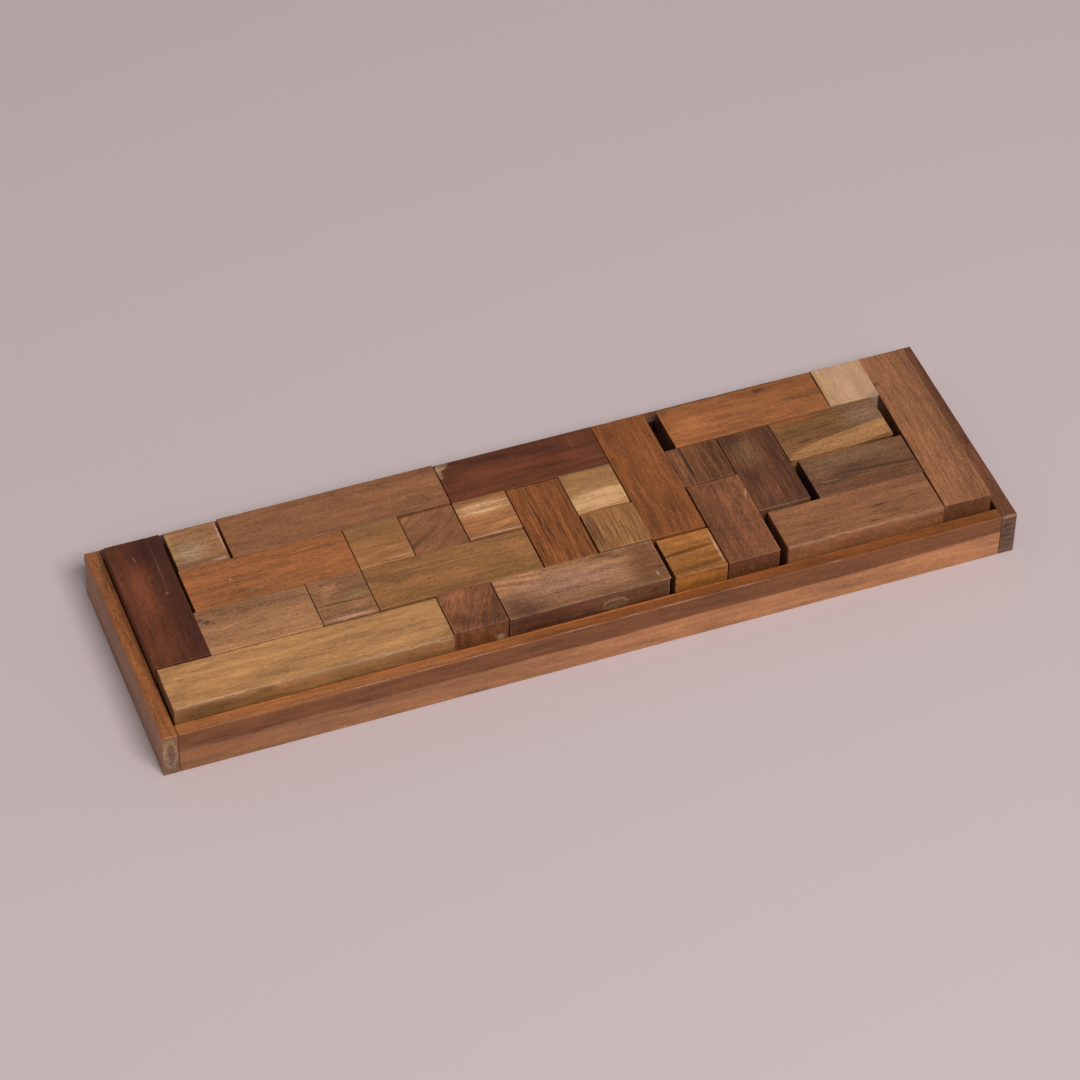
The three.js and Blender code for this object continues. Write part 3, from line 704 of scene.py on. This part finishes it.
def lightness(tree, look, place, along, shifted, streak, fibre, pore):
    """How much lighter or darker than its tone the wood is, from the figure along its grain."""
    light = centred(tree, streak, look["streaks"], 1)
    layers = [(fibre, look["fibre"] * FIGURE)]
    for kind in ("grit", "cloud"):
        layers.append((noise(tree, shifted, *FIGURES[kind]), look[kind] * FIGURE))
    layers.append((noise(tree, shifted, *FIGURES["broad"]), BROAD))
    for value, amount in layers:
        light = maths(tree, "ADD", light, centred(tree, value, amount))
    light = maths(tree, "MULTIPLY_ADD", pore, -PORE_DARKENS, light)
    fleck = spread(tree, noise(tree, along, *FIGURES["fleck"]), 0.6, 0.7)
    light = maths(tree, "MULTIPLY_ADD", fleck, FLECK_LIGHTENS, light)
    if "saw" in look:
        sawn = noise(tree, place, *FIGURES["saw"])
        light = maths(tree, "ADD", light, centred(tree, sawn, look["saw"]))
    return light


def sanding_scratches(tree, turn, place, shifted):
    """1 in the fine scratches of the sanding, which fade out here and there."""
    scratches = spread(tree, noise(tree, place, *FIGURES["sanding"], turn), 0.56, 0.7)
    haze = noise(tree, shifted, *FIGURES["haze"])
    return maths(tree, "MULTIPLY", scratches, spread(tree, haze, 0.4, 0.6, 0.1, 1.0))


def worn_and_shaded_edges(tree, look, colour, shifted):
    """Lays the tone of the arris over the edges, where the mesh says that they are worn. Mostly that is pale
    wear, but an arris darker than the stick is painted shade over a rounded edge that the lamp lights.
    """
    worn = add(tree, "Attribute", out=2, attribute_name="wear")
    chafed = spread(tree, noise(tree, shifted, *FIGURES["chafe"]), 0.35, 0.6)
    amount = maths(tree, "MULTIPLY", maths(tree, "MULTIPLY", worn, chafed), look["wear"])
    return mix(tree, amount, colour, paint(look, look["arris"]))


def make_wood(name, look, size, seed):
    """The wood of one stick. size is its length, depth and height."""
    material = bpy.data.materials.new(name + "_wood")
    material.use_nodes = True
    tree = material.node_tree
    tree.nodes.clear()
    coordinates = tree.nodes.new("ShaderNodeTexCoord")
    place = vector_maths(tree, "MULTIPLY", coordinates.outputs["Object"], (1 / MM,) * 3)

    # Turned so that X runs along the grain, and moved to a place of its own in the noise.
    along = turned(tree, place, look["grain"])
    shifted = vector_maths(tree, "ADD", along, tuple(seed * step for step in SEED_STEPS))
    wander = noise(tree, shifted, *FIGURES["wander"])
    outline = noise(tree, shifted, *FIGURES["outline"])
    stripe = look["stripe"]
    streak = noise(tree, shifted, (STREAK_LENGTH, stripe, stripe), 3.0, 0.6)
    fibre = noise(tree, shifted, *FIGURES["fibre"])
    pore = spread(tree, noise(tree, shifted, *FIGURES["pore"]), 0.62, 0.72)
    turn, depth = look["sanding"]
    sanded = sanding_scratches(tree, turn, place, shifted)

    colour = banded(tree, look, size, along, wander)
    colour = tinted_and_shaded_faces(tree, look, colour, coordinates.outputs["Normal"])
    if look.get("two_tone"):
        colour = two_tone(tree, colour, place, wander)
    colour = marked(tree, look, colour, place, outline)
    colour = scaled_colour(tree, colour, lightness(tree, look, place, along, shifted, streak, fibre, pore))
    pale = mix(tree, 1.0, colour, SANDED, "MULTIPLY")
    colour = mix(tree, maths(tree, "MULTIPLY", sanded, depth), colour, pale)
    colour = worn_and_shaded_edges(tree, look, colour, shifted)

    # Pores and scratches lie low, and the fibres and streaks stand up a little.
    gloss = add(tree, "MapRange", fibre, 0.3, 0.7, *GLOSS)
    height = maths(tree, "MULTIPLY_ADD", pore, -1.0, maths(tree, "MULTIPLY_ADD", streak, 0.7, fibre))
    height = maths(tree, "MULTIPLY_ADD", sanded, -0.35, height)
    named = {"Strength": BUMP_STRENGTH, "Distance": BUMP_DEPTH * MM, "Height": height}
    bump = add(tree, "Bump", named=named)
    named = {"Base Color": colour, "Roughness": gloss, "Normal": bump, "IOR": WOOD_IOR}
    add(tree, "OutputMaterial", add(tree, "BsdfPrincipled", named=named))
    return material


# ---------------------------------------------------------------- the blocks


def ripple(points, wavelength, rng):
    """A smooth random value from -1 to 1 at each point."""
    total = np.zeros(len(points))
    for _ in range(WAVES):
        direction = rng.normal(size=3)
        direction /= np.linalg.norm(direction)
        rate = 2 * math.pi / (wavelength * rng.uniform(0.6, 1.6))
        total += np.sin(points @ direction * rate + rng.uniform(0, 2 * math.pi))
    return np.clip(total / 3.5, -1, 1)


def lines_along(length, step):
    """Grid lines over a length from its middle, close together near both ends."""
    ends = np.array([e for e in EDGE_LINES if e < length * 0.3])
    inner = length - 2 * ends[-1]
    count = max(2, math.ceil(inner / step))
    middle = np.linspace(ends[-1], length - ends[-1], count + 1)[1:-1]
    return np.concatenate([ends, middle, length - ends[::-1]]) - length / 2


def box_grid(size, step):
    """The points and four-sided faces of a box cut into a grid."""
    lines = [lines_along(s, step) for s in size]
    counts = [len(line) for line in lines]
    faces = []
    for axis in range(3):
        one, two = (axis + 1) % 3, (axis + 2) % 3
        a, b = np.meshgrid(np.arange(counts[one] - 1), np.arange(counts[two] - 1), indexing="ij")
        for side in (0, counts[axis] - 1):
            corners = []
            for da, db in ((0, 0), (1, 0), (1, 1), (0, 1)):
                index = [None] * 3
                index[axis] = np.full(a.size, side)
                index[one] = a.ravel() + da
                index[two] = b.ravel() + db
                corners.append((index[0] * counts[1] + index[1]) * counts[2] + index[2])
            quads = np.stack(corners, axis=1)
            faces.append(quads if side else quads[:, ::-1])
    used, faces = np.unique(np.concatenate(faces), return_inverse=True)
    index = (used // (counts[1] * counts[2]), used // counts[2] % counts[1], used % counts[2])
    points = np.stack([line[i] for line, i in zip(lines, index)], axis=1)
    return points, faces.reshape(-1, 4)


# The axis and the direction that each side of a block looks in.
SIDES = {
    "left": (0, -1),
    "right": (0, 1),
    "front": (1, -1),
    "back": (1, 1),
    "under": (2, -1),
    "top": (2, 1),
}


def one_edge_radius(points, first, second, radius, special, glued):
    """How round the edge between two sides is at each point: special edges have a radius of their own, and
    the edges of a glued face are sharp where the other stick covers them."""
    value = np.full(len(points), radius)
    for names, wide in special.items():
        if {SIDES[n] for n in names.split()} == {first, second}:
            value[:] = wide
    for side, low, high in glued:
        if side in (first, second):
            others = [k for k in range(3) if k != side[0]]
            covered = np.all([(points[:, k] > low[k]) & (points[:, k] < high[k]) for k in others], axis=0)
            value[covered] = GLUED_EDGE
    return value


def edge_radius(points, half, radius, special, glued):
    """How round the edge nearest to each point is."""
    total = np.zeros(len(points))
    weight = np.zeros(len(points))
    sides = list(SIDES.values())
    for i, (a, sa) in enumerate(sides):
        for b, sb in sides[i + 1 :]:
            if a == b:
                continue
            away_a = half[a] - sa * points[:, a]
            away_b = half[b] - sb * points[:, b]
            here = 1 / (np.hypot(away_a, away_b) + 0.05) ** 4
            total += one_edge_radius(points, (a, sa), (b, sb), radius, special, glued) * here
            weight += here
    return total / weight


def worn_block(name, size, step, radius, special, glued, rng):
    """A block with eased, worn edges and faces that are not quite flat. It stays inside its size."""
    points, faces = box_grid(size, step)
    half = size / 2
    away = np.sort(half - np.abs(points), axis=1)[:, 1]
    around = edge_radius(points, half, radius, special, glued)
    both = ripple(points, CHIP_LONG, rng) * ripple(points, CHIP_SHORT, rng)
    chips = np.clip(both * CHIP_GAIN - CHIP_ABOVE, 0, 1)
    around = around * (1 + EDGE_SWAY * ripple(points, EDGE_RIPPLE, rng) + CHIP_DEPTH * chips)
    round_to = np.minimum(around, half.min() * 0.6)[:, None]
    core = np.clip(points, -(half - round_to), half - round_to)
    out = points - core
    long = np.linalg.norm(out, axis=1, keepdims=True)
    shaped = core + out / np.maximum(long, 1e-9) * round_to
    hollow = FACE_HOLLOW * (0.5 + 0.5 * ripple(points, HOLLOW_RIPPLE, rng))[:, None]
    on_face = half - np.abs(shaped) < 0.3
    shaped = shaped - np.sign(shaped) * hollow * np.clip(away / 2, 0, 1)[:, None] * on_face
    mesh = bpy.data.meshes.new(name)
    mesh.from_pydata((shaped * MM).tolist(), [], faces.tolist())
    mesh.shade_smooth()
    wear = np.exp(-((away / (0.25 + 0.35 * around)) ** 2)) * np.clip(around / 0.3 - 0.4, 0, 1)
    mesh.attributes.new("wear", "FLOAT", "POINT").data.foreach_set("value", wear.astype(np.float32))
    return mesh


def twist(node, body):
    """How far a CAD block is turned, in degrees. Its name starts with its piece's letter."""
    return 0.0 if body == "tray" else TWISTS.get(node.split("_")[0], 0.0)


def cad_block(node, body):
    """The middle and the size of a CAD block, in millimetres, and its corners along its own turned sides."""
    turn = Matrix.Rotation(math.radians(twist(node, body)), 3, "Z")
    points = np.array([turn.inverted() @ v.co for v in frame["nodes"][node].data.vertices]) / MM
    low, high = points.min(0), points.max(0)
    return turn @ Vector((low + high) / 2), high - low, low, high


def glued_faces(node, blocks):
    """The faces of a stick that are glued to another stick of its piece: (side, low corner, high corner)."""
    _, _, low, high = blocks[node]
    middle = (low + high) / 2
    found = []
    for other in blocks:
        if other == node:
            continue
        _, _, other_low, other_high = blocks[other]
        for axis in (0, 1):
            cross = 1 - axis
            shared = min(high[cross], other_high[cross]) - max(low[cross], other_low[cross])
            for sign, gap in ((1, other_low[axis] - high[axis]), (-1, low[axis] - other_high[axis])):
                if shared > GLUE_SHARED and abs(gap) < GLUE_REACH:
                    covered = (other_low - middle - GLUE_MARGIN, other_high - middle + GLUE_MARGIN)
                    found.append(((axis, sign), *covered))
    return found


def make_piece(node, body, blocks, number):
    """Puts a worn block in the place of a CAD node. blocks are the CAD blocks of its body."""
    look = LOOKS[node]
    middle, size, _, _ = blocks[node]
    rng = np.random.default_rng(number)
    tray = body == "tray"
    glued = [] if tray else glued_faces(node, blocks)
    size, middle = np.array(size), np.array(middle)
    for axis, sign in {side for side, _, _ in glued}:
        size[axis] += GLUE_CLOSES
        middle[axis] += sign * GLUE_CLOSES / 2
    lower = LOWER.get(node.split("_")[0], 0.0)
    size[2] -= lower
    middle[2] -= lower / 2
    step = RAIL_STEP if tray else STICK_STEP
    edge = RAIL_EDGE if tray and node != "base_panel" else STICK_EDGE
    mesh = worn_block(node, size, step, edge, look["edges"], glued, rng)
    piece = bpy.data.objects.new(node + "_wood", mesh)
    bpy.context.scene.collection.objects.link(piece)
    piece.location = Vector(middle) * MM
    piece.rotation_euler = (0, 0, math.radians(twist(node, body)))
    mesh.materials.append(make_wood(node, look, size, number))
    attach(piece, body)
    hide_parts(node)


def make_puzzle():
    number = 0
    for body, members in frame["record"]["behaviour"]["bodies"].items():
        blocks = {node: cad_block(node, body) for node in members}
        for node in members:
            number += 1
            make_piece(node, body, blocks, number)


# ---------------------------------------------------------------- camera, floor and light


def make_camera():
    azimuth, elevation = math.radians(CAMERA_AZIMUTH), math.radians(CAMERA_ELEVATION)
    level = math.cos(elevation)
    ahead = Vector((-math.sin(azimuth) * level, math.cos(azimuth) * level, -math.sin(elevation)))
    camera = bpy.data.objects.new("camera", bpy.data.cameras.new("camera"))
    camera.data.lens = CAMERA_LENS
    camera.data.sensor_width = CAMERA_SENSOR
    camera.data.clip_start, camera.data.clip_end = CAMERA_CLIP
    camera.location = CAMERA_PLACE
    camera.rotation_mode = "QUATERNION"
    roll = Quaternion((0, 0, 1), math.radians(CAMERA_ROLL))
    camera.rotation_quaternion = ahead.to_track_quat("-Z", "Y") @ roll
    bpy.context.scene.collection.objects.link(camera)
    bpy.context.scene.camera = camera


def make_floor():
    mesh = bpy.data.meshes.new("floor")
    around = ((-1, -1), (1, -1), (1, 1), (-1, 1))
    corners = [(sx * FLOOR_REACH, sy * FLOOR_REACH, -FLOOR_DROP) for sx, sy in around]
    mesh.from_pydata(corners, [], [(0, 1, 2, 3)])
    floor = bpy.data.objects.new("floor", mesh)
    bpy.context.scene.collection.objects.link(floor)
    material = bpy.data.materials.new("floor_paint")
    material.use_nodes = True
    shader = material.node_tree.nodes["Principled BSDF"]
    shader.inputs["Base Color"].default_value = linear(FLOOR_TONE)
    shader.inputs["Roughness"].default_value = FLOOR_ROUGHNESS
    mesh.materials.append(material)


def make_softbox(name, place, wide, power):
    """A rectangular lamp that looks at the middle of the scene."""
    light = bpy.data.lights.new(name, "AREA")
    light.shape = "RECTANGLE"
    light.size, light.size_y = wide
    light.energy = power
    lamp = bpy.data.objects.new(name, light)
    lamp.location = place
    lamp.rotation_mode = "QUATERNION"
    lamp.rotation_quaternion = (-place).to_track_quat("-Z", "Y")
    bpy.context.scene.collection.objects.link(lamp)


def make_light():
    world = bpy.data.worlds.new("studio")
    world.use_nodes = True
    sky = world.node_tree.nodes["Background"]
    sky.inputs["Color"].default_value = (1, 1, 1, 1)
    sky.inputs["Strength"].default_value = SKY_STRENGTH
    bpy.context.scene.world = world
    make_softbox("key", KEY_PLACE, KEY_SIZE, KEY_POWER)
    bpy.context.scene.view_settings.view_transform = "Standard"


make_camera()
make_puzzle()
make_floor()
make_light()
